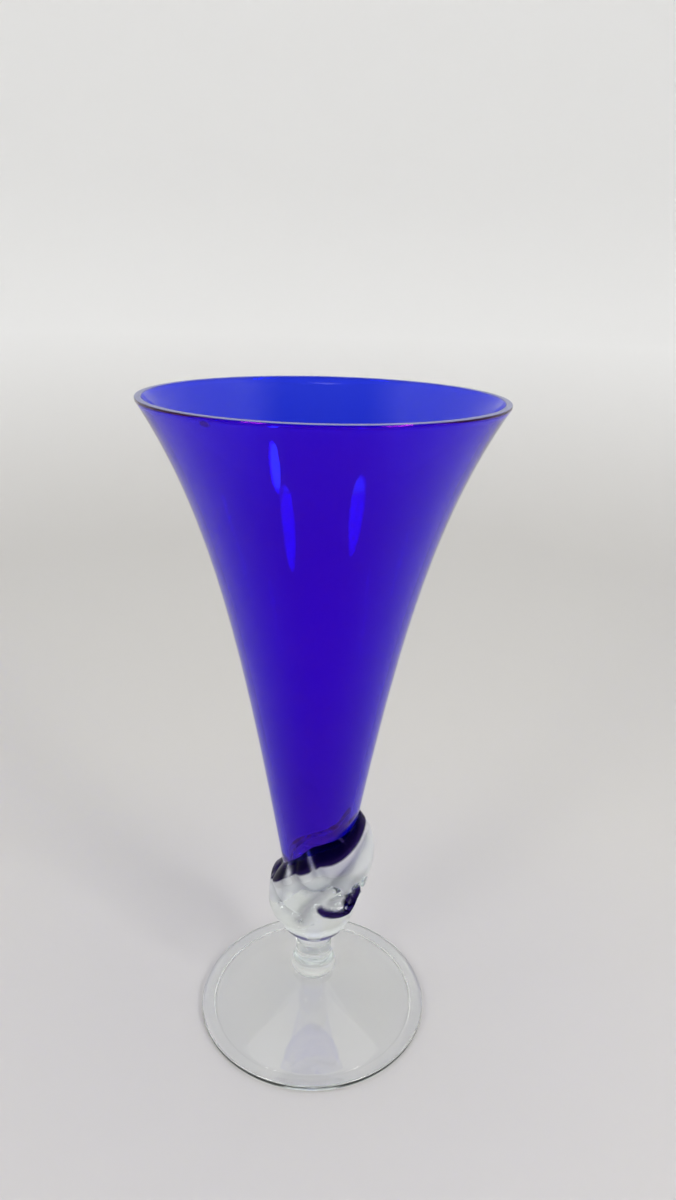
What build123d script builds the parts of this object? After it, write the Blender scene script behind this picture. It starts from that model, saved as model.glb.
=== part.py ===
from build123d import *
import math
import os

# Overall sizes of the vase, in millimetres
overall_height = 300
rim_radius = 73
foot_radius = 55.5

# Foot: a spun cone, hollow below, standing on a flat ring
foot_height = 21
foot_edge = 3
foot_edge_round = 1.2
foot_pad_width = 5
foot_wall = 5
foot_curve_share = 1.8
hollow_curve_share = 1.3
pontil_radius = 9

# Merese: the bead that joins the stem to the foot
merese_radius = 11
merese_thickness = 9
merese_foot_radius = 9.8
merese_belly_share = 0.3
merese_top = foot_height + merese_thickness

# Knop and stem: one drawn gather of clear glass, measured up from the merese
stem_base_radius = 9.2
stem_waist_radius = 8.7
stem_neck_radius = 9.3
stem_to_waist = 5
stem_to_neck = 12.6
stem_to_swell = 19.2
stem_to_belly = 31
stem_to_bowl = 46
knop_radius = 19.5
knop_swell_share = 0.8
seat_overlap = 2.5

# Bowl: a straight cone that opens into an exponential flare
bowl_base_height = merese_top + stem_to_bowl
bowl_base_radius = 13.7
bowl_taper_share = 0.15
flare_length = 56
heel_depth = 6
casing_wall = 2.3
lining_wall = 0.8
lining_base_wall = 1.15
heel_wall = 13
lining_heel_depth = 6
lining_floor = 2.5
rim_edge = 1.1
lining_edge = 0.4
profile_spans = 10

# Wrap: a ribbon wound a turn and a quarter round the joint of bowl and knop, then crimped
wrap_start_angle = 4
wrap_step_angle = 17
wrap_bury = 3.7
wrap_drop = 27
wrap_rise = 61
wrap_reach = 7.7
wrap_belly_share = 0.42
wrap_bevel_share = 0.27
wrap_ridge_share = 0.9
crimp_depth = 1.8
crimp_drop = 1.5
crimp_pitch_angle = 51

# Rows of the wrap: turn in degrees, then its lower and upper edge as shares of wrap_rise
# and how far its face stands out from the knop as a share of wrap_reach
wrap_shares = [
    (0, 0.26, 0.46, -0.58),
    (17, 0.26, 0.60, 0.60),
    (41, 0.27, 0.74, 0.95),
    (86, 0.33, 0.88, 1.20),
    (131, 0.26, 0.80, 1.00),
    (221, 0.10, 0.62, 0.60),
    (266, 0.02, 0.58, 0.40),
    (311, 0.08, 0.72, 0.50),
    (341, 0.20, 0.86, 0.60),
    (386, 0.50, 0.97, 0.86),
    (416, 0.66, 1.02, 0.92),
    (446, 0.74, 1.03, 0.84),
    (476, 0.80, 0.97, -0.46),
]


def trumpet_radius(height):
    """Outer radius of the bowl: straight taper plus a flare that grows exponentially to the rim."""
    taper = bowl_taper_share * (height - bowl_base_height)
    straight_rim = bowl_base_radius + bowl_taper_share * (overall_height - bowl_base_height)
    flare = (rim_radius - straight_rim) * math.exp((height - overall_height) / flare_length)
    return bowl_base_radius + taper + flare


def inset_at(height, rim_inset, base_inset):
    """How far a layer lies inside the bowl's outer face, changing evenly from the base to the rim."""
    part = (height - bowl_base_height) / (overall_height - bowl_base_height)
    return base_inset + (rim_inset - base_inset) * part


def trumpet_face(inset, base_inset, base, floor, edge):
    """Half section of the trumpet shape, drawn in by its insets, with its lip rounded over by edge."""
    crown = overall_height - abs(edge)
    heights = [base + (crown - base) * i / profile_spans for i in range(profile_spans + 1)]
    wall = Spline(*[(trumpet_radius(h) - inset_at(h, inset, base_inset), h) for h in heights])
    down = -(wall % 0)
    bottom = Spline(wall @ 0, (0, floor), tangents=[(down.X, down.Y), (-1, 0)])
    corner = (rim_radius - inset + edge, overall_height)
    outline = wall + bottom + Polyline(corner, (0, overall_height), (0, floor))
    if edge:
        outline += TangentArc(wall @ 1, corner, tangent=wall % 1)
    return Plane.XZ * make_face(outline)


def turned(face):
    """Solid of revolution of a half section about the vase's axis."""
    return revolve(face, Axis.Z)


def make_bowl():
    """Cobalt lining and clear casing, two layers that share one curved wall, and their full outer form."""
    lining_base = bowl_base_height + heel_wall
    lining_bottom = lining_base - lining_heel_depth
    inner_base = lining_base + lining_floor
    inner_bottom = lining_bottom + lining_floor
    rim_inset = casing_wall + lining_wall
    base_inset = casing_wall + lining_base_wall
    outer = turned(trumpet_face(0, 0, bowl_base_height, bowl_base_height - heel_depth, -rim_edge))
    seam = turned(trumpet_face(casing_wall, casing_wall, lining_base, lining_bottom, 0))
    inner = turned(trumpet_face(rim_inset, base_inset, inner_base, inner_bottom, lining_edge))
    return seam - inner, outer - seam, outer


def make_stem(bowl):
    """Knop and drawn stem: a waisted neck that swells into the bulb which cups the bowl's heel."""
    seat = bowl_base_height + seat_overlap
    side = Spline(
        (stem_base_radius, merese_top),
        (stem_waist_radius, merese_top + stem_to_waist),
        (stem_neck_radius, merese_top + stem_to_neck),
        (knop_radius * knop_swell_share, merese_top + stem_to_swell),
        (knop_radius, merese_top + stem_to_belly),
        (trumpet_radius(seat), seat),
    )
    close = Polyline(side @ 1, (0, seat), (0, merese_top), side @ 0)
    return turned(Plane.XZ * make_face(side + close)) - bowl


def make_merese():
    """Rounded bead between stem and foot, widest in its lower part."""
    belly = foot_height + merese_thickness * merese_belly_share
    side = Spline(
        (merese_foot_radius, foot_height),
        (merese_radius, belly),
        (stem_base_radius, merese_top),
    )
    close = Polyline(side @ 1, (0, merese_top), (0, foot_height), side @ 0)
    return turned(Plane.XZ * make_face(side + close))


def foot_curve(inner, outer, height, power):
    """Points of a spun cone's side, from its foot to its top, steeper towards the middle by a power."""
    steps = [i / profile_spans for i in range(profile_spans + 1)]
    return [(outer + (inner - outer) * step, height * step**power) for step in steps]


def make_foot():
    """Spun conical foot: a rising upper face, a hollow under it and a flat ring that rests on the table."""
    pad_outer = foot_radius - foot_edge_round
    pad_inner = pad_outer - foot_pad_width
    rise = foot_curve(merese_foot_radius, pad_outer, foot_height - foot_edge, foot_curve_share)
    upper = Spline(*[(radius, foot_edge + height) for radius, height in rise])
    under = Spline(*foot_curve(pontil_radius, pad_inner, foot_height - foot_wall, hollow_curve_share))
    edge = ThreePointArc((pad_outer, 0), (foot_radius, foot_edge / 2), (pad_outer, foot_edge))
    middle = Polyline(upper @ 1, (0, foot_height), (0, foot_height - foot_wall), under @ 1)
    pad = Line(under @ 0, edge @ 0)
    return turned(Plane.XZ * make_face(upper + middle + under + pad + edge))


def shares_at(turn):
    """Shares of the wrap at a turn angle, between the two rows of the table on each side of it."""
    for lower, upper in zip(wrap_shares, wrap_shares[1:]):
        if turn <= upper[0]:
            part = (turn - lower[0]) / (upper[0] - lower[0])
            return [a + (b - a) * part for a, b in zip(lower[1:], upper[1:])]


def wrap_section(turn):
    """Section of the ribbon in its radial plane: a rounded face under a bevel, its back in the joint."""
    low_share, high_share, reach_share = shares_at(turn)
    angle = math.radians(wrap_start_angle + turn)
    crimp = 0.5 + 0.5 * math.cos(angle * 360 / crimp_pitch_angle)
    bottom = bowl_base_height - wrap_drop
    low = bottom + wrap_rise * low_share
    high = bottom + wrap_rise * high_share - crimp_drop * crimp
    belly = low + (high - low) * wrap_belly_share
    back = bowl_base_radius - wrap_bury
    outer = knop_radius + wrap_reach * reach_share - crimp_depth * crimp * abs(reach_share)
    ridge = (back + (outer - back) * wrap_ridge_share, high - (high - low) * wrap_bevel_share)
    lean = (ridge[0] - outer, ridge[1] - belly)
    side = Spline((back, low), (outer, belly), ridge, tangents=[(1, 0), lean])
    out = (math.sin(angle), -math.cos(angle), 0)
    across = (-math.cos(angle), -math.sin(angle), 0)
    close = Polyline(side @ 1, (back, high), side @ 0)
    return Plane((0, 0, 0), x_dir=out, z_dir=across) * make_face(side + close)


def make_wrap(core):
    """Crimped ribbon of clear glass, lofted round the joint in two halves whose turns melt together."""
    whole_turn = wrap_shares[-1][0]
    spans = round(whole_turn / wrap_step_angle)
    half = spans // 2
    sections = [wrap_section(whole_turn * i / spans) for i in range(spans + 1)]
    first = loft(sections[: half + 1]) - core
    second = loft(sections[half:]) - core
    return first + second


def main():
    """Build every piece and write each one to its own file."""
    lining, casing, bowl = make_bowl()
    stem = make_stem(bowl)
    pieces = {
        "cobalt_lining": lining,
        "clear_casing": casing,
        "crimped_wrap": make_wrap(bowl + stem),
        "knop_stem": stem,
        "merese": make_merese(),
        "foot": make_foot(),
    }
    os.makedirs("parts", exist_ok=True)
    for node, piece in pieces.items():
        export_step(piece, f"parts/{node}.step")


main()
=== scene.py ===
import math

import bpy
import numpy as np
from bpy.props import FloatProperty, FloatVectorProperty, PointerProperty
from mathutils import Matrix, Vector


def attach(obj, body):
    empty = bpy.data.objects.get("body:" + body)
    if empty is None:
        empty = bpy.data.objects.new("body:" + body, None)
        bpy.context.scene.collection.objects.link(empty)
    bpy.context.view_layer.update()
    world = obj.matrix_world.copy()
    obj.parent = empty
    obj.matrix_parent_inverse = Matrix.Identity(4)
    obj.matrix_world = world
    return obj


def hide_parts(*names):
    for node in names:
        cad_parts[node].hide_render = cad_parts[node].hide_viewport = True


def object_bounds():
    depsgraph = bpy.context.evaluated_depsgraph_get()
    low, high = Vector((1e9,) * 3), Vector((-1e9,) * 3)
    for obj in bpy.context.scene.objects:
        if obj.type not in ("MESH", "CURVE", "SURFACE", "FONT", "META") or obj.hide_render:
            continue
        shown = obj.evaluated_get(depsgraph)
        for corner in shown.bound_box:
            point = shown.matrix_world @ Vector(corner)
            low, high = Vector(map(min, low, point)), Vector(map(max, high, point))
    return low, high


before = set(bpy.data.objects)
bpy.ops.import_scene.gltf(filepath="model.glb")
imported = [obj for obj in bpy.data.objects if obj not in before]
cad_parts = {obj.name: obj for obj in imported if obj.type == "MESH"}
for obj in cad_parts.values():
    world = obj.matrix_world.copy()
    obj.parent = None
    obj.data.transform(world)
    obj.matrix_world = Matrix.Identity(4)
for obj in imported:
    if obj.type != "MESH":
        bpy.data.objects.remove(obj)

bl_info = {
    "name": "Trumpet vase",
    "version": (1, 0, 0),
    "blender": (4, 5, 0),
    "location": "3D View > Sidebar > Vase",
    "description": "Builds a footed trumpet vase of cased and crimped glass on its packed frame",
    "category": "Add Mesh",
}

MM = 0.001
BODY = "root"
CAD_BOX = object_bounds()

# Face attribute that is 1 where a face is melted into the next piece and can't be seen
FUSED = "fused"
# Face attribute that is 1 on the bowl's ground rim
RIM = "rim"
# Vertex attribute that is 1 where the wrap is painted dark: a painted reflection of the cobalt bowl on its
# bevel, curl and eye, and painted shade in its folds
PAINTED_REFLECTION_AND_SHADE = "painted_reflection_and_shade"
# Face attribute that is 1 where the wrap's back closes in air, whose skin is milky with tiny bubbles
MILKY = "milky"
# Pieces that are fused stay this far apart, so that no two faces lie in one place
SEAM_GAP = 0.02 * MM
COLUMNS = 256
SHARP_ANGLE = math.radians(40)

# The wrap, by angle in degrees from the front towards the right. Heights and radii in millimetres.
# Where its top edge meets the bowl
WRAP_LIP = [
    (-90, 82), (-58, 88), (-40, 92.5), (-24, 96.5), (-12, 101.5), (-4, 104.3), (5, 105), (13, 105.8),
    (28, 106.6), (45, 107.6), (60, 109), (75, 111), (90, 112), (104, 110.5), (118, 105), (134, 97),
    (160, 91), (200, 87), (235, 83.5),
]
# How far the ridge between its top bevel and its side lies below the top edge
WRAP_BEVEL = [
    (-90, 9), (-50, 8.5), (-27, 5.5), (-16, 8.2), (-5, 10), (3, 8.5), (11, 7.6), (15, 8.6), (28, 7.6),
    (42, 5.6), (60, 4.4), (75, 4.6), (90, 5), (118, 5.5), (150, 7), (200, 8), (235, 8.5),
]
# Radius of that ridge
WRAP_RIDGE_RADIUS = [
    (-90, 21.3), (-50, 22.6), (-20, 24), (0, 24.3), (20, 24.8), (40, 25), (60, 24.2), (90, 23.2), (120, 23.2),
    (160, 23.6), (200, 23), (235, 22),
]
# Radius of its side where it bulges most
WRAP_BELLY_RADIUS = [
    (-90, 22), (-50, 22.6), (-20, 23.6), (0, 23.8), (20, 24.6), (45, 26.2), (70, 27.4), (90, 27.8),
    (130, 27.2), (180, 25.4), (225, 23.4),
]
# Where its lower edge meets the knop
WRAP_HEM = [
    (-90, 51), (-60, 53), (-30, 56), (-8, 59), (2, 63), (8, 67), (20, 66), (35, 65.6), (46, 67), (56, 71),
    (68, 72.5), (90, 68), (130, 64), (180, 60), (225, 54),
]
# How fast its underside stands out from the knop, as radius gained per height
WRAP_UNDERCUT = [
    (-90, 0.55), (-30, 0.7), (0, 1), (8, 2.2), (20, 3), (50, 3), (65, 2.5), (90, 2), (130, 1.6), (180, 1),
    (225, 0.7),
]
# Folds that the crimping tool and the two overlapping turns leave: depth, half width and path of each
WRAP_FOLDS = [
    (2.0, 2.4, [(-16, 67), (-3, 77.1), (6, 80.4), (17, 84.6), (29, 88.7), (43, 93.3), (58, 98.2), (74, 101)]),
    (1.5, 1.4, [(-27, 93), (-16, 85.5), (-7, 82.8), (4, 81.9)]),
    (1.0, 1.2, [(-92, 79), (-60, 74.9), (-50, 72), (-40, 70.7), (-28, 69.5), (-17, 66.8)]),
    (1.2, 1.0, [(-7, 104), (-4, 97), (0, 92)]),
    (0.8, 1.0, [(3, 98), (14, 90)]),
    (1.2, 2.4, [(-48, 88), (-42, 84)]),
    (1.8, 2.6, [(20, 76), (36, 77.5)]),
    (1.6, 2.0, [(118, 74), (132, 84), (146, 92)]),
    (1.4, 1.8, [(164, 66), (180, 76), (196, 86)]),
    (1.2, 1.6, [(208, 60), (226, 70), (240, 80)]),
]
# The curl along the lower edge of its tail: how far it stands out, half width and path
WRAP_CURL = (
    2.2, 1.2, [
        (7, 74), (10.6, 72.7), (13.6, 72), (20.6, 71), (28.6, 70.5), (35.8, 70.9), (42, 74), (46.5, 78.5),
        (47, 81),
    ],
)
# The eye of the curl, a painted reflection of the cobalt bowl: half width and path
WRAP_PAINTED_EYE = (1.5, [(36, 75), (41, 77.6)])
# Gaps in the painted reflection on the bevel, where highlights show: half width and path of each
WRAP_GLEAMS = [
    (0.7, [(-9.5, 101), (-6.5, 98.5), (-3.5, 96.5), (0, 94)]),
    (1.1, [(-45, 88.3), (-39, 88.8), (-33, 89.5)]),
]
# Painted shade in the folds: how dark they are painted, per millimetre of their depth
FOLD_PAINTED_SHADE = [(-90, 0.2), (25, 0.2), (50, 0.05), (100, 0.05), (140, 0.15)]
# The pocket of air trapped behind it: depth below the ridge by angle, widening per height, thickness of its
# roof and rounding of the edge under the roof
POCKET_DEPTH = [
    (-90, 12), (-20, 12), (20, 14), (38, 22), (55, 28), (75, 30), (100, 28), (140, 20), (200, 12),
]
POCKET_SLOPE, POCKET_ROOF, POCKET_ROUNDING = 0.75, 3.2, 1.5
# How deep its back is melted into the glass under it, and how near to that glass it counts as melted
BURY, MELT_GAP = 1.2, 0.01
# Rounding of the edges above and below its side, and the power that sets where the side bulges
RIDGE_ROUNDING, HEM_ROUNDING, BELLY_POWER = 0.6, 1.6, 0.8
# Thickness from which its folds and its curl have their full depth
FULL_RELIEF = 2.5
# Height over which the painted reflection on the bevel fades at the ridge, and the strength of the painted
# reflection along the curl
PAINTED_BAND_FADE, CURL_PAINTED_REFLECTION = 0.8, 1.8
# Degrees over which corners in these tables are rounded, and the radius on which the wrap is unrolled
TABLE_ROUNDING, UNROLL_RADIUS = 3.5, 24

# Points on the runs of the bowl's profile, and on the knop's socket for it
FLOOR_POINTS, WALL_POINTS, FINE_POINTS, LIP_POINTS, EDGE_POINTS = 14, 90, 110, 6, 8
HEEL_POINTS, SOCKET_POINTS = 12, 5
# Points on the sides of the knop and the merese, and on the runs of the foot's profile
KNOP_POINTS, MERESE_POINTS = 160, 40
RISE_POINTS, HOLLOW_POINTS, BULGE_POINTS, RING_POINTS = 60, 100, 14, 6
# Share of the hollow's width over which the step beside the resting ring rises
STEP_SHARE = 0.02
# Top of the close rows on the bowl, above the wrap
FINE_TOP = 116 * MM
# Profile spans on each side of the rim that were ground
LINING_GROUND, CASING_GROUND = 3, 4

# Ripples in the glass: how many to a metre along each axis, bump strength and height
STREAKS, BOWL_STREAKS = (60, 60, 60), (70, 70, 9)
RIPPLE_STRENGTH, RIPPLE_HEIGHT = 0.25, 0.1 * MM
# Smudges: how many to a metre, noise values where they begin and are full, and the roughness that they add
SMUDGES, SMUDGE_RANGE, SMUDGE_ROUGHNESS = 38, (0.52, 0.75), 0.02
# Wear under the foot: heights where it ends, scratches to a metre, and the roughness of wear and scratches
WEAR_HEIGHTS, SCRATCHES = (0.1 * MM, 0.5 * MM), (900, 120, 900)
SCRATCH_RANGE, WEAR_ROUGHNESS, SCRATCH_ROUGHNESS = (0.5, 0.7), 0.05, 0.08
# Heights between which the bowl's tint changes
BASE_TINT_HEIGHTS = (0.11, 0.19)
# Roughness of the ground rim and of the milky skin, and how much light each lets through
RIM_FINISH = {"Roughness": 0.3, "Transmission Weight": 0.25}
MILKY_FINISH = {"Roughness": 0.35, "Transmission Weight": 0.2}

# Small blister in the casing below the rim: its place and how far it reaches along each axis
BLISTER = ((-0.0388, -0.0603, 0.2973), (0.0027, 0.0027, 0.0014))

# Colours of the lamps and the sky, and the middle of the mouth, which the lamps face
LAMP_COLOUR, SKY_COLOUR, MOUTH = (1, 0.98, 0.95), (1, 0.995, 0.985, 1), (0, 0, 0.25)
# Lamps, one metre from the bowl's mouth: degrees to the right of the camera's side, degrees up, width, height
# and brightness
LAMPS = {
    "bright_lamp": (50, 29, 0.14, 0.24, 22),
    "right_lamp": (40, 16, 0.26, 0.32, 9),
    "left_lamp": (-40, 19, 0.26, 0.32, 9),
}
# Stage: its columns, its drop below the foot, the rings of its floor, sweep and wall, heights between which
# floor turns to wall, places along Y between which the camera's side begins, and heights between which that
# side turns dark
STAGE_COLUMNS, FLOOR_DROP = 96, 0.1 * MM
FLOOR_RINGS, SWEEP_RINGS, WALL_RINGS = 20, 16, 9
WALL_HEIGHTS, CAMERA_SIDE, GLOOM_HEIGHTS = (0, 0.25), (-0.4, -1), (0.6, 1.1)


def length(name, description, default):
    """A size in metres, which the panel shows in the scene's unit."""
    return FloatProperty(
        name=name, description=description, default=default, min=0, unit="LENGTH", precision=5
    )


def number(name, description, default):
    """A plain number without a unit."""
    return FloatProperty(name=name, description=description, default=default, precision=4)


def tilt(name, description, degrees):
    """An angle of the camera, given in degrees."""
    return FloatProperty(name=name, description=description, default=math.radians(degrees), subtype="ANGLE")


def colour(name, description, default):
    """A linear colour with a picker in the panel."""
    return FloatVectorProperty(
        name=name, description=description, default=default, size=3, min=0, max=1, subtype="COLOR"
    )


class BowlSizes(bpy.types.PropertyGroup):
    """Sizes of the flared bowl and its two layers of glass."""

    height: length("Height", "Height of the rim above the table", CAD_BOX[1].z)
    rim_radius: length("Rim radius", "Outer radius of the rim", 73 * MM)
    base_height: length("Base height", "Height where the bowl's straight taper begins", 76 * MM)
    base_radius: length("Base radius", "Outer radius of the taper at its base", 13.7 * MM)
    taper: number("Taper", "Radius that the straight taper gains per height", 0.15)
    flare: length("Flare length", "Height over which the flare grows by a factor of e", 56 * MM)
    heel: length("Heel depth", "Depth of the rounded heel below the taper", 6 * MM)
    casing: length("Casing", "Thickness of the clear outer layer", 2.3 * MM)
    lining: length("Lining", "Thickness of the cobalt inner layer at the rim", 0.8 * MM)
    lining_base: length("Lining base", "Thickness of the cobalt inner layer at the base", 1.15 * MM)
    heel_wall: length("Heel wall", "Clear glass between the base and the lining", 13 * MM)
    lining_heel: length("Lining heel", "Depth of the lining's rounded bottom", 6 * MM)
    lining_floor: length("Lining floor", "Thickness of the lining at its floor", 2.5 * MM)
    rim_edge: length("Rim edge", "Rounding of the rim's outer edge", 1.1 * MM)
    lining_edge: length("Lining edge", "Rounding of the rim's inner edge", 0.4 * MM)


class StemSizes(bpy.types.PropertyGroup):
    """Sizes of the knop with its drawn stem, and of the merese under it."""

    knop_radius: length("Knop radius", "Largest radius of the knop", 19.5 * MM)
    knop_height: length("Knop height", "Height of the knop's widest place", 61 * MM)
    swell_share: number("Swell", "Radius of the knop's underside, as a share of the knop's", 0.8)
    swell_height: length("Swell height", "Height of the knop's underside", 49.2 * MM)
    neck_radius: length("Neck radius", "Radius where the stem opens into the knop", 9.3 * MM)
    neck_height: length("Neck height", "Height where the stem opens into the knop", 42.6 * MM)
    waist_radius: length("Waist radius", "Smallest radius of the stem", 8.7 * MM)
    waist_height: length("Waist height", "Height of the stem's smallest radius", 35 * MM)
    base_radius: length("Base radius", "Radius of the stem where it meets the merese", 9.2 * MM)
    seat: length("Seat", "Height that the knop climbs up the bowl's base", 2.5 * MM)
    merese_radius: length("Merese radius", "Largest radius of the merese", 11 * MM)
    merese_foot: length("Merese foot", "Radius of the merese where it meets the foot", 9.8 * MM)
    merese_height: length("Merese height", "Height of the merese's top", 30 * MM)
    belly_share: number("Belly", "Height of the merese's widest place, as a share of its thickness", 0.3)


class FootSizes(bpy.types.PropertyGroup):
    """Sizes of the spun foot."""

    radius: length("Radius", "Outer radius of the foot", 55.5 * MM)
    height: length("Height", "Height of the foot where the merese sits", 21 * MM)
    edge: length("Edge", "Thickness of the foot at its edge", 3 * MM)
    edge_round: length("Edge rounding", "How far the edge bulges out", 1.2 * MM)
    pad: length("Resting ring", "Width of the flat ring that stands on the table", 5 * MM)
    step: length("Step", "Height of the step from the resting ring up to the hollow", 0.8 * MM)
    wall: length("Wall", "Thickness of the foot in the middle", 5 * MM)
    pontil: length("Pontil", "Radius of the polished pontil disc", 9 * MM)
    rise: number("Rise", "Power of the upper face's curve", 1.8)
    hollow: number("Hollow", "Power of the hollow's curve", 1.3)


class GlassColours(bpy.types.PropertyGroup):
    """Colours of the two glasses."""

    cobalt: colour("Cobalt", "Light that a thickness of cobalt glass lets through", (0.004, 0.16, 0.98))
    cobalt_depth: number("Cobalt depth", "Strength of the cobalt per metre of glass", 4800)
    cobalt_face: colour("Cobalt face", "Tint of the cobalt's own surface", (0.55, 0.72, 0.98))
    cobalt_base: colour("Cobalt base", "Tint of that surface in the bowl's lower part", (0.55, 0.45, 0.74))
    clear: colour("Clear", "Light that a thickness of clear glass lets through", (0.55, 0.92, 0.80))
    clear_depth: number("Clear depth", "Strength of the clear glass's tint per metre", 3)
    clear_face: colour("Clear face", "Tint of the clear glass's surface", (0.975, 0.99, 0.985))
    sheen: colour("Bowl sheen", "Tint of the bowl's mirror image seen straight on", (1, 0.03, 1))
    # Painted reflection of the cobalt bowl and painted shade in the wrap's folds: their colour, the tint of
    # their mirror image and the low refractive index of their skin, which keeps glints off the painted band
    painted_reflection_and_shade: colour("Stain", "Tint where the wrap's edge was pulled over the cobalt", (0.0008, 0.0002, 0.012))
    painted_sheen: colour("Stain sheen", "Tint of the stained glass's mirror image", (0.4, 0.25, 1))
    painted_index: number("Stain index", "Refractive index of the stained glass's skin", 1.12)
    milk: colour("Milk", "Colour of the milky skin of the air in the wrap", (0.97, 0.97, 0.98))
    rim: colour("Rim", "Colour of the bowl's ground rim", (0.24, 0.26, 0.5))
    blister: colour("Blister", "Tint of the small blister below the rim", (0.02, 0.01, 0.22))
    index: number("Index", "Refractive index of the glass", 1.5)


class StageSettings(bpy.types.PropertyGroup):
    """Floor, light and camera."""

    floor_radius: length("Floor radius", "Radius of the flat floor", 0.8)
    sweep: length("Sweep", "Radius of the curve between floor and wall", 0.5)
    wall_height: length("Wall height", "Height of the round wall", 2.2)
    floor: colour("Floor", "Colour of the floor", (0.64, 0.63, 0.615))
    wall: colour("Wall", "Colour of the wall behind the vase", (0.93, 0.935, 0.935))
    room: colour("Room", "Colour of the wall behind the camera", (0.68, 0.67, 0.67))
    gloom: colour("Gloom", "Colour of the wall above the camera", (0.06, 0.06, 0.06))
    sky: FloatProperty(name="Sky", description="Strength of the even light from above", default=1.45, min=0)
    lamp: FloatProperty(name="Lamps", description="Brightness of the lamps, as a share", default=1, min=0)
    lens: FloatProperty(name="Lens", description="Focal length", default=25.91, unit="CAMERA", min=1)
    eye: FloatVectorProperty(
        name="Eye", description="Place of the camera", default=(0, -0.34246, 0.34212), subtype="TRANSLATION"
    )
    pitch: tilt("Pitch", "Angle that the camera looks down", 20.32)
    yaw: tilt("Yaw", "Angle that the camera looks right", 1.25)
    roll: tilt("Roll", "Angle that the camera is tilted", 1.54)


GROUPS = {
    "vase_bowl": BowlSizes,
    "vase_stem": StemSizes,
    "vase_foot": FootSizes,
    "vase_glass": GlassColours,
    "vase_stage": StageSettings,
}


class Signal:
    """An output socket of a material. Arithmetic on it adds Math nodes."""

    def __init__(self, graph, socket):
        self.graph = graph
        self.socket = socket

    def math(self, operation, first, second):
        return self.graph.add("ShaderNodeMath", {"operation": operation}, {0: first, 1: second})

    def __add__(self, other):
        return self.math("ADD", self, other)

    def __sub__(self, other):
        return self.math("SUBTRACT", self, other)

    def __mul__(self, other):
        return self.math("MULTIPLY", self, other)

    def __rsub__(self, other):
        return self.math("SUBTRACT", other, self)

    __radd__ = __add__
    __rmul__ = __mul__


class Graph:
    """The node tree of one material."""

    def __init__(self, name):
        self.material = bpy.data.materials.new(name)
        self.material.use_nodes = True
        self.tree = self.material.node_tree
        self.tree.nodes.clear()

    def add(self, kind, settings=None, sockets=None, output=0):
        """Adds a node, sets its settings, fills its sockets with values or links, and gives one output."""
        node = self.tree.nodes.new(kind)
        for key, value in (settings or {}).items():
            setattr(node, key, value)
        for key, value in (sockets or {}).items():
            if isinstance(value, Signal):
                self.tree.links.new(value.socket, node.inputs[key])
            else:
                node.inputs[key].default_value = value
        return Signal(self, node.outputs[output]) if node.outputs else None

    def place(self):
        """Place on the piece, in metres."""
        return self.add("ShaderNodeTexCoord", output="Object")

    def noise(self, place, scale, detail=2.0):
        """Soft noise from 0 to 1 with features about 1 / scale metres wide."""
        return self.add("ShaderNodeTexNoise", None, {"Vector": place, "Scale": scale, "Detail": detail})

    def ramp(self, value, low, high):
        """0 below low, 1 above high and a straight rise between them."""
        return self.add("ShaderNodeMapRange", None, {"Value": value, "From Min": low, "From Max": high})

    def blend(self, factor, first, second):
        """Colour between two colours."""
        first, second = (c if isinstance(c, Signal) else (*c, 1) for c in (first, second))
        return self.add("ShaderNodeMix", {"data_type": "RGBA"}, {0: factor, 6: first, 7: second}, output=2)

    def stretched(self, place, scale):
        """Place with each axis multiplied by its own factor."""
        return self.add("ShaderNodeVectorMath", {"operation": "MULTIPLY"}, {0: place, 1: scale})

    def finish(self, surface, volume=None):
        """Joins the shaders to the material's output."""
        sockets = {"Surface": surface}
        if volume:
            sockets["Volume"] = volume
        self.add("ShaderNodeOutputMaterial", None, sockets)
        return self.material


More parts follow.
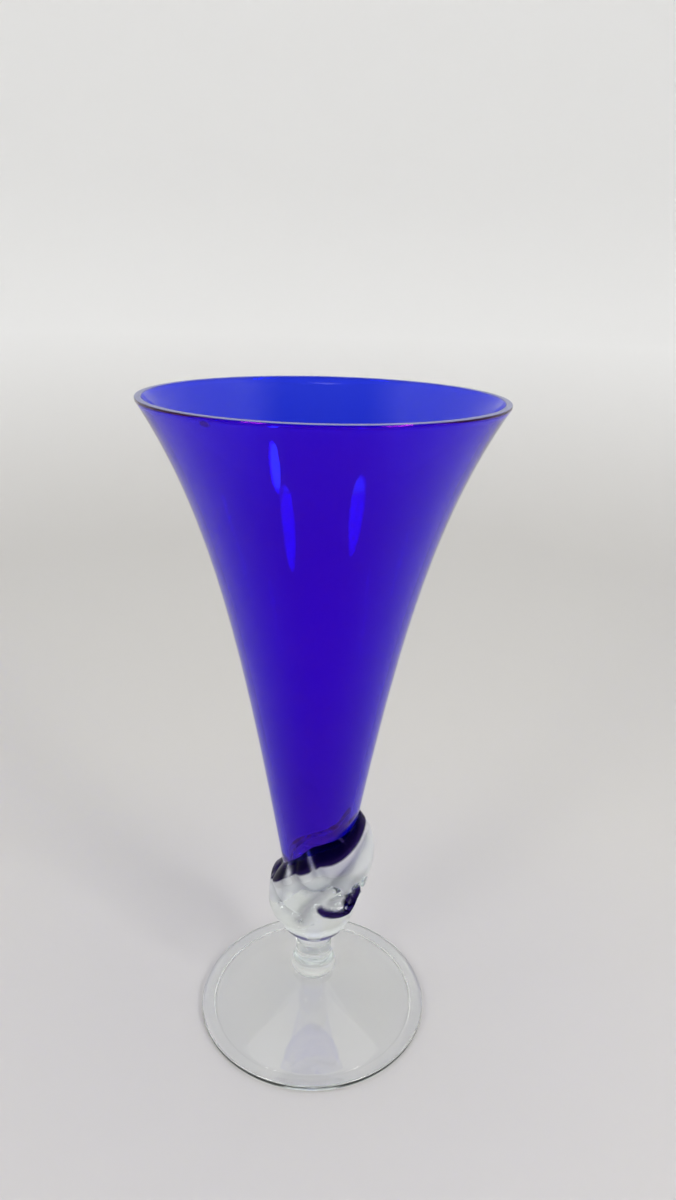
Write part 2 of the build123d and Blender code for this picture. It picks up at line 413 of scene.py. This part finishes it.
def glass(
    name, face, inside, depth, streaks=STREAKS, sheen=(1, 1, 1),
    variants=None, base=None, blister=None, scuffed=False,
):
    """Fire-polished glass: clear to its full depth, tinted by its thickness, with faint ripples from the
    blowing and finger smudges. Fused faces let light straight through. Variants name the attributes of faces
    whose surface differs in some sockets. A base is the tint that the face takes on towards the bowl's foot, a
    blister is a small dark place, and a scuffed piece has fine wear where it stands on the table."""
    colours = bpy.context.scene.vase_glass
    graph = Graph(name)
    place = graph.place()
    fused = graph.add("ShaderNodeAttribute", {"attribute_name": FUSED}, output="Fac")
    ripple = graph.noise(graph.stretched(place, streaks), 1, 1.5)
    smudge = graph.ramp(graph.noise(place, SMUDGES, 4), *SMUDGE_RANGE)
    roughness = smudge * SMUDGE_ROUGHNESS
    height = graph.add("ShaderNodeSeparateXYZ", None, {0: place}, output=2)
    if scuffed:
        scratch = graph.ramp(graph.noise(graph.stretched(place, SCRATCHES), 1, 3), *SCRATCH_RANGE)
        worn = 1 - graph.ramp(height, *WEAR_HEIGHTS)
        roughness = roughness + worn * (WEAR_ROUGHNESS + scratch * SCRATCH_ROUGHNESS)
    tint = graph.blend(ripple, tuple(face), tuple(min(1, c * 1.02) for c in face))
    if base:
        tint = graph.blend(graph.ramp(height, *BASE_TINT_HEIGHTS), tuple(base), tint)
    if blister:
        centre, reach = blister
        offset = graph.add("ShaderNodeVectorMath", {"operation": "SUBTRACT"}, {0: place, 1: centre})
        offset = graph.stretched(offset, tuple(1 / r for r in reach))
        distance = graph.add("ShaderNodeVectorMath", {"operation": "LENGTH"}, {0: offset}, output="Value")
        tint = graph.blend(graph.ramp(distance, 0.6, 1), tuple(colours.blister), tint)
    normal = graph.add("ShaderNodeBump", None, {
        "Strength": RIPPLE_STRENGTH, "Distance": RIPPLE_HEIGHT, "Height": ripple,
    })
    sockets = {
        "Base Color": tint,
        "Roughness": roughness,
        "IOR": colours.index,
        "Alpha": 1 - fused,
        "Normal": normal,
        "Specular Tint": (*sheen, 1),
        "Transmission Weight": 1,
    }
    surface = graph.add("ShaderNodeBsdfPrincipled", None, sockets)
    for attribute, changes in (variants or {}).items():
        part = graph.add("ShaderNodeAttribute", {"attribute_name": attribute}, output="Fac")
        other = graph.add("ShaderNodeBsdfPrincipled", None, sockets | changes)
        surface = graph.add("ShaderNodeMixShader", None, {0: part, 1: surface, 2: other})
    volume = graph.add("ShaderNodeVolumeAbsorption", None, {"Color": (*inside, 1), "Density": depth})
    return graph.finish(surface, volume)


def ground_rim():
    """Variant for the rim, which was ground flat and only half polished."""
    rim = bpy.context.scene.vase_glass.rim
    return {RIM: {"Base Color": (*rim, 1), "Specular Tint": (1, 1, 1, 1), **RIM_FINISH}}


def trumpet_radius(height):
    """Outer radius of the bowl: a straight taper plus a flare that grows exponentially to the rim."""
    bowl = bpy.context.scene.vase_bowl
    taper = bowl.base_radius + bowl.taper * (height - bowl.base_height)
    straight_rim = bowl.base_radius + bowl.taper * (bowl.height - bowl.base_height)
    return taper + (bowl.rim_radius - straight_rim) * np.exp((height - bowl.height) / bowl.flare)


def inner_radius(height):
    """Inner radius of the bowl: the outer one less the casing and a lining that thickens towards the base."""
    bowl = bpy.context.scene.vase_bowl
    depth = (bowl.height - height) / (bowl.height - bowl.base_height)
    return trumpet_radius(height) - bowl.casing - bowl.lining - (bowl.lining_base - bowl.lining) * depth


def spaced(start, end, count):
    """Evenly spaced values from start to end, both included."""
    return np.linspace(start, end, count)


def joined(*runs):
    """One profile from several runs of (radius, height) points."""
    return np.concatenate([np.column_stack(run) for run in runs])


def quarter(radius, base, floor, count):
    """Rounded floor of a vessel: a quarter ellipse from the axis at floor height to a radius at base height."""
    turn = spaced(0, math.pi / 2, count)
    return radius * np.sin(turn), base - (base - floor) * np.cos(turn)


def smooth_curve(points, count):
    """Curve through points: on each span a cubic whose slopes at the points follow their neighbours."""
    points = np.array(points)
    slopes = np.gradient(points, axis=0)
    place = spaced(0, len(points) - 1, count)
    span = np.minimum(place.astype(int), len(points) - 2)
    t = (place - span)[:, None]
    start, end = points[span], points[span + 1]
    leave, arrive = slopes[span], slopes[span + 1]
    curve = (1 + 2 * t) * (1 - t) ** 2 * start + t * (1 - t) ** 2 * leave
    curve += t**2 * (3 - 2 * t) * end + t**2 * (t - 1) * arrive
    return curve[:, 0], curve[:, 1]


def knop_side():
    """Side of the knop and stem, from the merese up to where the knop's edge lies on the bowl."""
    stem = bpy.context.scene.vase_stem
    seat = bpy.context.scene.vase_bowl.base_height + stem.seat
    return smooth_curve([
        (stem.base_radius, stem.merese_height),
        (stem.waist_radius, stem.waist_height),
        (stem.neck_radius, stem.neck_height),
        (stem.knop_radius * stem.swell_share, stem.swell_height),
        (stem.knop_radius, stem.knop_height),
        (trumpet_radius(seat), seat),
    ], KNOP_POINTS)


def core_radius(height):
    """Radius of the glass under the wrap: the knop's side, and above its seat the bowl."""
    radius, level = knop_side()
    return np.where(height < level[-1], np.interp(height, level, radius), trumpet_radius(height))


def around(table, angle):
    """Value of a table of angles at any angle, with its corners rounded off by a bell-shaped average."""
    steps = np.arange(720) / 2
    angles, values = np.array(table, float).T
    order = np.argsort(angles % 360)
    run = np.interp(steps, angles[order] % 360, values[order], period=360)
    spread = bell(np.minimum(steps, 360 - steps) / TABLE_ROUNDING)
    rounded = np.fft.ifft(np.fft.fft(run) * np.fft.fft(spread / spread.sum())).real
    return np.interp(np.asarray(angle) % 360, steps, rounded, period=360)


def lower_of(first, second, rounding):
    """The lower of two surfaces, with the edge between them rounded off."""
    share = np.clip(0.5 + 0.5 * (second - first) / rounding, 0, 1)
    return second * (1 - share) + first * share - rounding * share * (1 - share)


def bell(distance):
    """Bell curve: 1 at no distance, 0.6 at a distance of 1 and nearly 0 from 3 on."""
    return np.exp(-0.5 * distance**2)


def distance_to(path, angle, height):
    """Distance in millimetres on the unrolled wrap from each place to the nearest run of a path."""
    unroll = math.radians(UNROLL_RADIUS)
    nearest = np.full(np.broadcast(angle, height).shape, np.inf)
    for (turn, level), (next_turn, next_level) in zip(path, path[1:]):
        across = ((angle - turn + 180) % 360 - 180) * unroll
        run = np.array([(next_turn - turn) * unroll, next_level - level])
        along = np.clip((across * run[0] + (height - level) * run[1]) / (run @ run), 0, 1)
        nearest = np.minimum(nearest, np.hypot(across - along * run[0], height - level - along * run[1]))
    return nearest


def wrap_form(angle, height):
    """Outer radius of the wrap without its folds, at an angle in degrees and a height in millimetres: the
    lowest of its top bevel, its bulging side and its underside, with rounded edges between them."""
    lip, hem = around(WRAP_LIP, angle), around(WRAP_HEM, angle)
    bevel, ridge = around(WRAP_BEVEL, angle), around(WRAP_RIDGE_RADIUS, angle)
    lip_radius, hem_radius = core_radius(lip * MM) / MM, core_radius(hem * MM) / MM
    top = lip_radius + (ridge - lip_radius) * (lip - height) / bevel
    drop = np.clip((lip - bevel - height) / (lip - bevel - hem), 0, 1)
    side = ridge + (around(WRAP_BELLY_RADIUS, angle) - ridge) * np.sin(np.pi * drop**BELLY_POWER)
    under = hem_radius + around(WRAP_UNDERCUT, angle) * (height - hem)
    return lower_of(lower_of(top, side, RIDGE_ROUNDING), under, HEM_ROUNDING)


def wrap_radius(angle, height):
    """Outer radius of the wrap: its form less each fold and plus the curl, which are bell-shaped across their
    paths and fade out where the wrap thins."""
    core = core_radius(height * MM) / MM
    radius = wrap_form(angle, height)
    thickness = np.clip((radius - core) / FULL_RELIEF, 0, 1)
    for depth, width, path in WRAP_FOLDS:
        radius = radius - thickness * depth * bell(distance_to(path, angle, height) / width)
    depth, width, path = WRAP_CURL
    radius = radius + thickness * depth * bell(distance_to(path, angle, height) / width)
    return np.maximum(radius, core)


def wrap_back(angle, height):
    """Inner radius of the wrap, by angle and height as above: low down it is melted into the core, and above
    that lies a pocket of air that widens upwards in a straight line until a roof of even thickness ends it."""
    core = core_radius(height * MM) / MM
    lip, hem = around(WRAP_LIP, angle), around(WRAP_HEM, angle)
    floor = lip - around(WRAP_BEVEL, angle) - around(POCKET_DEPTH, angle)
    roof = wrap_form(angle, height) - POCKET_ROOF
    pocket = lower_of(core + POCKET_SLOPE * (height - floor), roof, POCKET_ROUNDING)
    climb = np.clip((height - hem) / (lip - hem), 0, 1)
    return np.maximum(pocket, core - BURY * np.sin(np.pi * climb))


def wrap_painted_reflection_and_shade(angle, height):
    """Share of painted dark on the wrap from 0 to 1: a painted reflection of the cobalt bowl, full on the bevel
    above its ridge but for the gaps where highlights show, along the curl of its tail and in its eye, and
    painted shade, faint, in the folds."""
    ridge = around(WRAP_LIP, angle) - around(WRAP_BEVEL, angle)
    bevel = np.clip(0.5 + (height - ridge) / PAINTED_BAND_FADE, 0, 1)
    for width, path in WRAP_GLEAMS:
        bevel = bevel * (1 - bell(distance_to(path, angle, height) / width))
    _, width, path = WRAP_CURL
    curl = CURL_PAINTED_REFLECTION * bell(distance_to(path, angle, height) / width)
    width, path = WRAP_PAINTED_EYE
    painted_reflection_and_shade = np.maximum.reduce([bevel, curl, bell(distance_to(path, angle, height) / width)])
    for depth, width, path in WRAP_FOLDS:
        fold = depth * bell(distance_to(path, angle, height) / width)
        painted_reflection_and_shade = np.maximum(painted_reflection_and_shade, around(FOLD_PAINTED_SHADE, angle) * fold)
    return np.clip(painted_reflection_and_shade, 0, 1)


def under_wrap(angle, height):
    """True where a place on the core, at an angle in degrees and height in metres, is melted to the wrap."""
    level = height / MM
    core = core_radius(height) / MM + MELT_GAP
    covered = (level > around(WRAP_HEM, angle)) & (level < around(WRAP_LIP, angle))
    return covered & (wrap_radius(angle, level) > core) & (wrap_back(angle, level) < core)


def outward(vertices, quads, triangles):
    """The faces, all turned over if together they enclose a negative volume."""
    halves = np.concatenate([quads[:, [0, 1, 2]], quads[:, [0, 2, 3]], triangles])
    first, second, third = (vertices[halves[:, i]] for i in range(3))
    volume = np.sum(first * np.cross(second, third))
    return (quads, triangles) if volume > 0 else (quads[:, ::-1], triangles[:, ::-1])


def add_attribute(piece, name, domain, values):
    """Notes a number for each vertex or face of a piece, which its material reads by name."""
    attribute = piece.data.attributes.new(name, "FLOAT", domain)
    attribute.data.foreach_set("value", np.asarray(values, np.float32).ravel())


def add_piece(name, vertices, quads, triangles, fused, material, node=None):
    """Makes a piece of the vase from its vertices and faces, with smooth faces and crisp edges."""
    quads, triangles = outward(vertices, quads, triangles)
    mesh = bpy.data.meshes.new(name)
    mesh.from_pydata(vertices.tolist(), [], quads.tolist() + triangles.tolist())
    mesh.shade_smooth()
    mesh.set_sharp_from_angle(angle=SHARP_ANGLE)
    mesh.materials.append(material)
    piece = bpy.data.objects.new(name, mesh)
    add_attribute(piece, FUSED, "FACE", fused)
    bpy.context.scene.collection.objects.link(piece)
    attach(piece, BODY)
    if node:
        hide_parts(node)
    return piece


def lathe(profile, columns=COLUMNS):
    """Surface of revolution. Each (radius, height) point of a profile is carried round the axis, and the first
    and last points are poles on it. Gives vertices, quads, triangles and the angle and height of each face."""
    radius, height = profile[1:-1].T
    turn = np.arange(columns) * 2 * math.pi / columns
    rows = len(radius)
    ring = np.stack([
        np.outer(radius, np.sin(turn)),
        np.outer(radius, -np.cos(turn)),
        np.outer(height, np.ones(columns)),
    ], axis=-1).reshape(-1, 3)
    poles = np.array([[0, 0, profile[0, 1]], [0, 0, profile[-1, 1]]])
    index = np.arange(rows * columns).reshape(rows, columns)
    beside = np.roll(index, -1, axis=1)
    quads = np.stack([index[:-1], beside[:-1], beside[1:], index[1:]], axis=-1).reshape(-1, 4)
    first, last = rows * columns, rows * columns + 1
    triangles = np.concatenate([
        np.stack([beside[0], index[0], np.full(columns, first)], axis=-1),
        np.stack([index[-1], beside[-1], np.full(columns, last)], axis=-1),
    ])
    middle = np.degrees(turn) + 180 / columns
    levels = (height[:-1] + height[1:]) / 2
    angle = np.concatenate([np.tile(middle, rows - 1), middle, middle])
    ends = [np.full(columns, height[0]), np.full(columns, height[-1])]
    level = np.concatenate([np.repeat(levels, columns), *ends])
    return np.concatenate([ring, poles]), quads, triangles, angle, level


def rows_of(mask, columns=COLUMNS):
    """Flag of each lathe face from a flag for each profile span, pole spans first and last."""
    ends = [np.full(columns, mask[0]), np.full(columns, mask[-1])]
    return np.concatenate([np.repeat(mask[1:-1], columns), *ends])


def bowl_levels():
    """Heights for the bowl's rows: close together beside the wrap, wider apart above it."""
    bowl = bpy.context.scene.vase_bowl
    close = spaced(bowl.base_height, FINE_TOP, FINE_POINTS)
    return np.concatenate([close[:-1], spaced(FINE_TOP, bowl.height, WALL_POINTS)])


class VASE_OT_lining(bpy.types.Operator):
    """Blow the cobalt lining: the inner layer of the bowl, closed over the rim"""

    bl_idname = "vase.lining"
    bl_label = "Cobalt lining"

    def execute(self, context):
        bowl, colours = context.scene.vase_bowl, context.scene.vase_glass
        base = bowl.base_height + bowl.heel_wall
        floor = base - bowl.lining_heel
        inner_base = base + bowl.lining_floor
        crown = bowl.height - bowl.lining_edge
        inner = spaced(inner_base, crown, WALL_POINTS)
        turn = spaced(0, math.pi / 2, LIP_POINTS)
        crown_radius = inner_radius(crown)
        lip_width = inner_radius(bowl.height) + bowl.lining_edge - crown_radius
        outer = spaced(bowl.height, base, WALL_POINTS)
        seam = bowl.casing + SEAM_GAP
        bottom = quarter(trumpet_radius(base) - seam, base, floor + SEAM_GAP, FLOOR_POINTS)
        profile = joined(
            quarter(inner_radius(inner_base), inner_base, floor + bowl.lining_floor, FLOOR_POINTS),
            (inner_radius(inner[1:]), inner[1:]),
            (crown_radius + lip_width * (1 - np.cos(turn[1:])), crown + bowl.lining_edge * np.sin(turn[1:])),
            (trumpet_radius(outer) - seam, outer),
            [part[::-1][1:] for part in bottom],
        )
        spans = np.arange(len(profile) - 1)
        seam_start = FLOOR_POINTS + WALL_POINTS - 1 + LIP_POINTS - 1
        fused = spans >= seam_start
        ground = (spans >= seam_start - LINING_GROUND) & (spans < seam_start)
        vertices, quads, triangles, _, _ = lathe(profile)
        material = glass(
            "cobalt_glass", colours.cobalt_face, colours.cobalt, colours.cobalt_depth, BOWL_STREAKS,
            variants=ground_rim(), base=colours.cobalt_base,
        )
        piece = add_piece(
            "lining_glass", vertices, quads, triangles, rows_of(fused), material,
            "cobalt_lining",
        )
        add_attribute(piece, RIM, "FACE", rows_of(ground))
        return {"FINISHED"}


class VASE_OT_casing(bpy.types.Operator):
    """Gather the clear casing: the thick outer layer of the bowl, from its heel to its rounded rim"""

    bl_idname = "vase.casing"
    bl_label = "Clear casing"

    def execute(self, context):
        bowl, colours = context.scene.vase_bowl, context.scene.vase_glass
        base = bowl.base_height + bowl.heel_wall
        floor = base - bowl.lining_heel
        inner = spaced(base, bowl.height, WALL_POINTS)
        crown = bowl.height - bowl.rim_edge
        turn = spaced(math.pi / 2, 0, EDGE_POINTS)
        crown_radius = trumpet_radius(crown)
        edge_width = crown_radius - (bowl.rim_radius - bowl.rim_edge)
        levels = bowl_levels()
        outer = levels[levels < crown][::-1]
        bottom = quarter(bowl.base_radius, bowl.base_height, bowl.base_height - bowl.heel, HEEL_POINTS)
        profile = joined(
            quarter(trumpet_radius(base) - bowl.casing, base, floor, FLOOR_POINTS),
            (trumpet_radius(inner[1:]) - bowl.casing, inner[1:]),
            (crown_radius - edge_width * (1 - np.cos(turn)), crown + bowl.rim_edge * np.sin(turn)),
            (trumpet_radius(outer), outer),
            [part[::-1][1:] for part in bottom],
        )
        vertices, quads, triangles, angle, level = lathe(profile)
        spans = np.arange(len(profile) - 1)
        ground_start = FLOOR_POINTS + WALL_POINTS - 2
        ground = (spans >= ground_start) & (spans < ground_start + CASING_GROUND)
        heel = spans > len(spans) - HEEL_POINTS
        hidden = rows_of((spans < ground_start) | heel)
        outside = rows_of((spans > ground_start + EDGE_POINTS) & ~heel)
        fused = hidden | (outside & under_wrap(angle, level))
        material = glass(
            "cased_clear_glass", colours.clear_face, colours.clear, colours.clear_depth, BOWL_STREAKS,
            colours.sheen, ground_rim(), blister=BLISTER,
        )
        piece = add_piece(
            "casing_glass", vertices, quads, triangles, fused, material, "clear_casing"
        )
        add_attribute(piece, RIM, "FACE", rows_of(ground))
        return {"FINISHED"}


class VASE_OT_wrap(bpy.types.Operator):
    """Wind the crimped wrap: a thick ribbon round the joint of bowl and knop, its turns melted together"""

    bl_idname = "vase.wrap"
    bl_label = "Crimped wrap"

    def execute(self, context):
        columns, rows, back_rows = 400, 130, 65
        angle = np.arange(columns) * 360 / columns
        hem, lip = around(WRAP_HEM, angle), around(WRAP_LIP, angle)
        climb = (1 - np.cos(spaced(0, math.pi, rows))) / 2
        descent = climb[::-1][:: rows // back_rows][1:-1]
        share = np.concatenate([climb, descent])[:, None]
        height = hem + (lip - hem) * share
        facing = np.arange(len(share))[:, None] < rows
        back = wrap_back(angle[None, :], height)
        radius = np.where(facing, wrap_radius(angle[None, :], height), back) * MM
        melted = back < core_radius(height * MM) / MM + MELT_GAP
        turn = np.radians(angle)
        places = np.stack([radius * np.sin(turn), -radius * np.cos(turn), height * MM], axis=-1)
        vertices = places.reshape(-1, 3)
        index = np.arange(radius.size).reshape(radius.shape)
        beside, above = np.roll(index, -1, axis=1), np.roll(index, -1, axis=0)
        corner = np.roll(above, -1, axis=1)
        quads = np.stack([index, beside, corner, above], axis=-1).reshape(-1, 4)
        fused = (~facing & melted).ravel()
        colours = context.scene.vase_glass
        # Sockets of the painted reflection of the cobalt bowl and of the painted shade in the folds
        painted = {
            "Base Color": (*colours.painted_reflection_and_shade, 1),
            "Specular Tint": (*colours.painted_sheen, 1),
            "IOR": colours.painted_index,
        }
        milky = {"Base Color": (*colours.milk, 1), **MILKY_FINISH}
        material = glass(
            "wrap_clear_glass", colours.clear_face, colours.clear, colours.clear_depth,
            variants={PAINTED_REFLECTION_AND_SHADE: painted, MILKY: milky},
        )
        none = np.empty((0, 3), int)
        piece = add_piece("wrap_glass", vertices, quads, none, fused, material, "crimped_wrap")
        # Share of painted reflection and painted shade at each vertex of the outer face
        painted_reflection_and_shade = np.where(facing, wrap_painted_reflection_and_shade(angle[None, :], height), 0)
        add_attribute(piece, PAINTED_REFLECTION_AND_SHADE, "POINT", painted_reflection_and_shade)
        add_attribute(piece, MILKY, "FACE", ~facing & ~melted)
        return {"FINISHED"}


class VASE_OT_knop_stem(bpy.types.Operator):
    """Draw the knop and stem: one gather that cups the bowl's heel, swells and draws in to a waist"""

    bl_idname = "vase.knop_stem"
    bl_label = "Knop and stem"

    def execute(self, context):
        bowl, colours = context.scene.vase_bowl, context.scene.vase_glass
        heel = bowl.base_height - bowl.heel
        radius, height = (part[::-1] for part in knop_side())
        socket = spaced(bowl.base_height, height[0], SOCKET_POINTS)
        profile = joined(
            quarter(bowl.base_radius + SEAM_GAP, bowl.base_height - SEAM_GAP, heel - SEAM_GAP, HEEL_POINTS),
            (trumpet_radius(socket[1:-1]) + SEAM_GAP, socket[1:-1]),
            (radius, height),
            ([0], [height[-1]]),
        )
        vertices, quads, triangles, angle, level = lathe(profile)
        spans = np.arange(len(profile) - 1)
        hidden = rows_of((spans < HEEL_POINTS + SOCKET_POINTS - 2) | (spans == len(spans) - 1))
        fused = hidden | under_wrap(angle, level)
        material = glass("knop_clear_glass", colours.clear_face, colours.clear, colours.clear_depth)
        add_piece("knop_glass", vertices, quads, triangles, fused, material, "knop_stem")
        return {"FINISHED"}


class VASE_OT_merese(bpy.types.Operator):
    """Drop the merese: the bead of glass between stem and foot"""

    bl_idname = "vase.merese"
    bl_label = "Merese"

    def execute(self, context):
        stem, foot, colours = context.scene.vase_stem, context.scene.vase_foot, context.scene.vase_glass
        top, bottom = stem.merese_height - SEAM_GAP, foot.height + SEAM_GAP
        radius, height = smooth_curve([
            (stem.base_radius, top),
            (stem.merese_radius, bottom + (top - bottom) * stem.belly_share),
            (stem.merese_foot, bottom),
        ], MERESE_POINTS)
        profile = joined(([0], [top]), (radius, height), ([0], [bottom]))
        vertices, quads, triangles, _, _ = lathe(profile)
        spans = np.arange(len(profile) - 1)
        fused = rows_of((spans == 0) | (spans == len(spans) - 1))
        material = glass("merese_clear_glass", colours.clear_face, colours.clear, colours.clear_depth)
        add_piece("merese_glass", vertices, quads, triangles, fused, material, "merese")
        return {"FINISHED"}


class VASE_OT_foot(bpy.types.Operator):
    """Spin the foot: a rising upper face, a rounded edge, a flat resting ring and a hollow with a pontil"""

    bl_idname = "vase.foot"
    bl_label = "Foot"

    def execute(self, context):
        foot, stem, colours = context.scene.vase_foot, context.scene.vase_stem, context.scene.vase_glass
        pad_outer = foot.radius - foot.edge_round
        pad_inner = pad_outer - foot.pad
        rise, climb = spaced(1, 0, RISE_POINTS), spaced(0, 1, HOLLOW_POINTS)
        half, bulge = foot.edge / 2, spaced(math.pi / 2, -math.pi / 2, BULGE_POINTS)
        ring = spaced(pad_outer, pad_inner, RING_POINTS)
        step = foot.step * (1 - climb) * (1 - np.exp(-climb / STEP_SHARE))
        upper = foot.edge + (foot.height - foot.edge) * rise**foot.rise
        under = (foot.height - foot.wall) * climb**foot.hollow + step
        profile = joined(
            ([0], [foot.height]),
            (pad_outer + (stem.merese_foot - pad_outer) * rise, upper),
            (pad_outer + foot.edge_round * np.cos(bulge[1:-1]), half + half * np.sin(bulge[1:-1])),
            (ring, np.zeros_like(ring)),
            (pad_inner + (foot.pontil - pad_inner) * climb[1:], under[1:]),
            ([0], [foot.height - foot.wall]),
        )
        vertices, quads, triangles, _, _ = lathe(profile)
        fused = rows_of(np.arange(len(profile) - 1) == 0)
        material = glass(
            "foot_clear_glass", colours.clear_face, colours.clear, colours.clear_depth, scuffed=True
        )
        add_piece("foot_glass", vertices, quads, triangles, fused, material, "foot")
        return {"FINISHED"}


class VASE_OT_stage(bpy.types.Operator):
    """Set the stage: a pale floor that sweeps up into a round wall, soft light, three lamps and the camera"""

    bl_idname = "vase.stage"
    bl_label = "Stage"

    def execute(self, context):
        stage = context.scene.vase_stage
        self.sweep(stage)
        self.light(context.scene, stage)
        self.camera(context.scene, stage)
        return {"FINISHED"}

    def sweep(self, stage):
        """Floor, sweep and wall as one profile carried round the vase, darker on the camera's side."""
        table = -FLOOR_DROP
        turn = spaced(0, math.pi / 2, SWEEP_RINGS)
        floor = spaced(0.02, 1, FLOOR_RINGS) * stage.floor_radius
        wall = spaced(stage.sweep, stage.wall_height, WALL_RINGS)[1:]
        profile = joined(
            (floor, np.full_like(floor, table)),
            (
                stage.floor_radius + stage.sweep * np.sin(turn[1:]),
                table + stage.sweep * (1 - np.cos(turn[1:])),
            ),
            (np.full_like(wall, stage.floor_radius + stage.sweep), wall),
        )
        profile = np.concatenate([[(0, table)], profile, [(0, stage.wall_height + 1)]])
        vertices, quads, triangles, _, _ = lathe(profile, STAGE_COLUMNS)
        mesh = bpy.data.meshes.new("pale_sweep")
        faces = quads[:, ::-1].tolist() + triangles[:STAGE_COLUMNS, ::-1].tolist()
        mesh.from_pydata(vertices.tolist(), [], faces)
        mesh.shade_smooth()
        graph = Graph("pale_paper")
        place = graph.place()
        front = graph.add("ShaderNodeSeparateXYZ", None, {0: place}, output=1)
        level = graph.add("ShaderNodeSeparateXYZ", None, {0: place}, output=2)
        mottle = graph.noise(place, 9, 3)
        paper = graph.blend(graph.ramp(level, *WALL_HEIGHTS), stage.floor, stage.wall)
        camera_side = graph.ramp(front, *CAMERA_SIDE)
        paper = graph.blend(camera_side, paper, stage.room)
        paper = graph.blend(camera_side * graph.ramp(level, *GLOOM_HEIGHTS), paper, stage.gloom)
        surface = graph.add("ShaderNodeBsdfPrincipled", None, {
            "Base Color": paper, "Roughness": 0.6 + mottle * 0.2, "Specular IOR Level": 0.2,
        })
        mesh.materials.append(graph.finish(surface))
        sweep = bpy.data.objects.new("pale_sweep", mesh)
        bpy.context.scene.collection.objects.link(sweep)

    def light(self, scene, stage):
        """An even sky over the open top of the sweep, and lamps one metre from the mouth of the vase."""
        world = bpy.data.worlds.new("soft_sky")
        world.use_nodes = True
        sky = world.node_tree.nodes["Background"]
        sky.inputs["Color"].default_value = SKY_COLOUR
        sky.inputs["Strength"].default_value = stage.sky
        scene.world = world
        mouth = np.array(MOUTH)
        for name, (turn, rise, width, height, brightness) in LAMPS.items():
            lamp = bpy.data.lights.new(name, "AREA")
            lamp.shape = "ELLIPSE"
            lamp.size, lamp.size_y = width, height
            lamp.energy = stage.lamp * brightness * math.pi * math.pi * width * height / 4
            lamp.color = LAMP_COLOUR
            turn, rise = math.radians(turn), math.radians(rise)
            level = math.cos(rise)
            away = np.array([math.sin(turn) * level, -math.cos(turn) * level, math.sin(rise)])
            bulb = bpy.data.objects.new(name, lamp)
            bulb.matrix_world = Matrix.Translation(mouth + away) @ self.facing(away)
            scene.collection.objects.link(bulb)

    def facing(self, away):
        """Rotation whose Z axis points along a direction."""
        back = away / np.linalg.norm(away)
        side = np.cross((0, 0, 1), back)
        side /= np.linalg.norm(side)
        up = np.cross(back, side)
        return Matrix(np.column_stack([side, up, back]).tolist()).to_4x4()

    def camera(self, scene, stage):
        """Camera from its place and its three angles."""
        lens = bpy.data.cameras.new("photo_camera")
        lens.lens = stage.lens
        camera = bpy.data.objects.new("photo_camera", lens)
        level = np.array([math.cos(stage.yaw), -math.sin(stage.yaw), 0])
        ahead = np.array([
            math.sin(stage.yaw) * math.cos(stage.pitch),
            math.cos(stage.yaw) * math.cos(stage.pitch),
            -math.sin(stage.pitch),
        ])
        upright = np.cross(level, ahead)
        right = math.cos(stage.roll) * level + math.sin(stage.roll) * upright
        up = math.cos(stage.roll) * upright - math.sin(stage.roll) * level
        turned = Matrix(np.column_stack([right, up, -ahead]).tolist()).to_4x4()
        camera.matrix_world = Matrix.Translation(stage.eye) @ turned
        scene.collection.objects.link(camera)
        scene.camera = camera
        scene.view_settings.view_transform = "Standard"
        scene.cycles.max_bounces = 40
        scene.cycles.transmission_bounces = 40
        scene.cycles.glossy_bounces = 12
        scene.cycles.transparent_max_bounces = 64
        scene.cycles.blur_glossy = 0
        scene.cycles.use_denoising = True


MAKERS = [
    VASE_OT_lining,
    VASE_OT_casing,
    VASE_OT_wrap,
    VASE_OT_knop_stem,
    VASE_OT_merese,
    VASE_OT_foot,
    VASE_OT_stage,
]


class VASE_PT_panel(bpy.types.Panel):
    """Sizes, colours and makers of the vase"""

    bl_label = "Trumpet vase"
    bl_space_type = "VIEW_3D"
    bl_region_type = "UI"
    bl_category = "Vase"

    def draw(self, context):
        for maker in MAKERS:
            self.layout.operator(maker.bl_idname)
        for attribute, group in GROUPS.items():
            box = self.layout.box()
            box.label(text=group.__doc__)
            for name in group.__annotations__:
                box.prop(getattr(context.scene, attribute), name)


def register():
    """Makes the groups, operators and panel known."""
    for each in [*GROUPS.values(), *MAKERS, VASE_PT_panel]:
        bpy.utils.register_class(each)
    for attribute, group in GROUPS.items():
        setattr(bpy.types.Scene, attribute, PointerProperty(type=group))


def unregister():
    """Takes them away again, last first."""
    for attribute in GROUPS:
        delattr(bpy.types.Scene, attribute)
    for each in reversed([*GROUPS.values(), *MAKERS, VASE_PT_panel]):
        bpy.utils.unregister_class(each)


def main():
    """Registers the makers, then builds every piece and the stage."""
    register()
    bpy.ops.vase.lining()
    bpy.ops.vase.casing()
    bpy.ops.vase.wrap()
    bpy.ops.vase.knop_stem()
    bpy.ops.vase.merese()
    bpy.ops.vase.foot()
    bpy.ops.vase.stage()


if __name__ == "__main__":
    main()
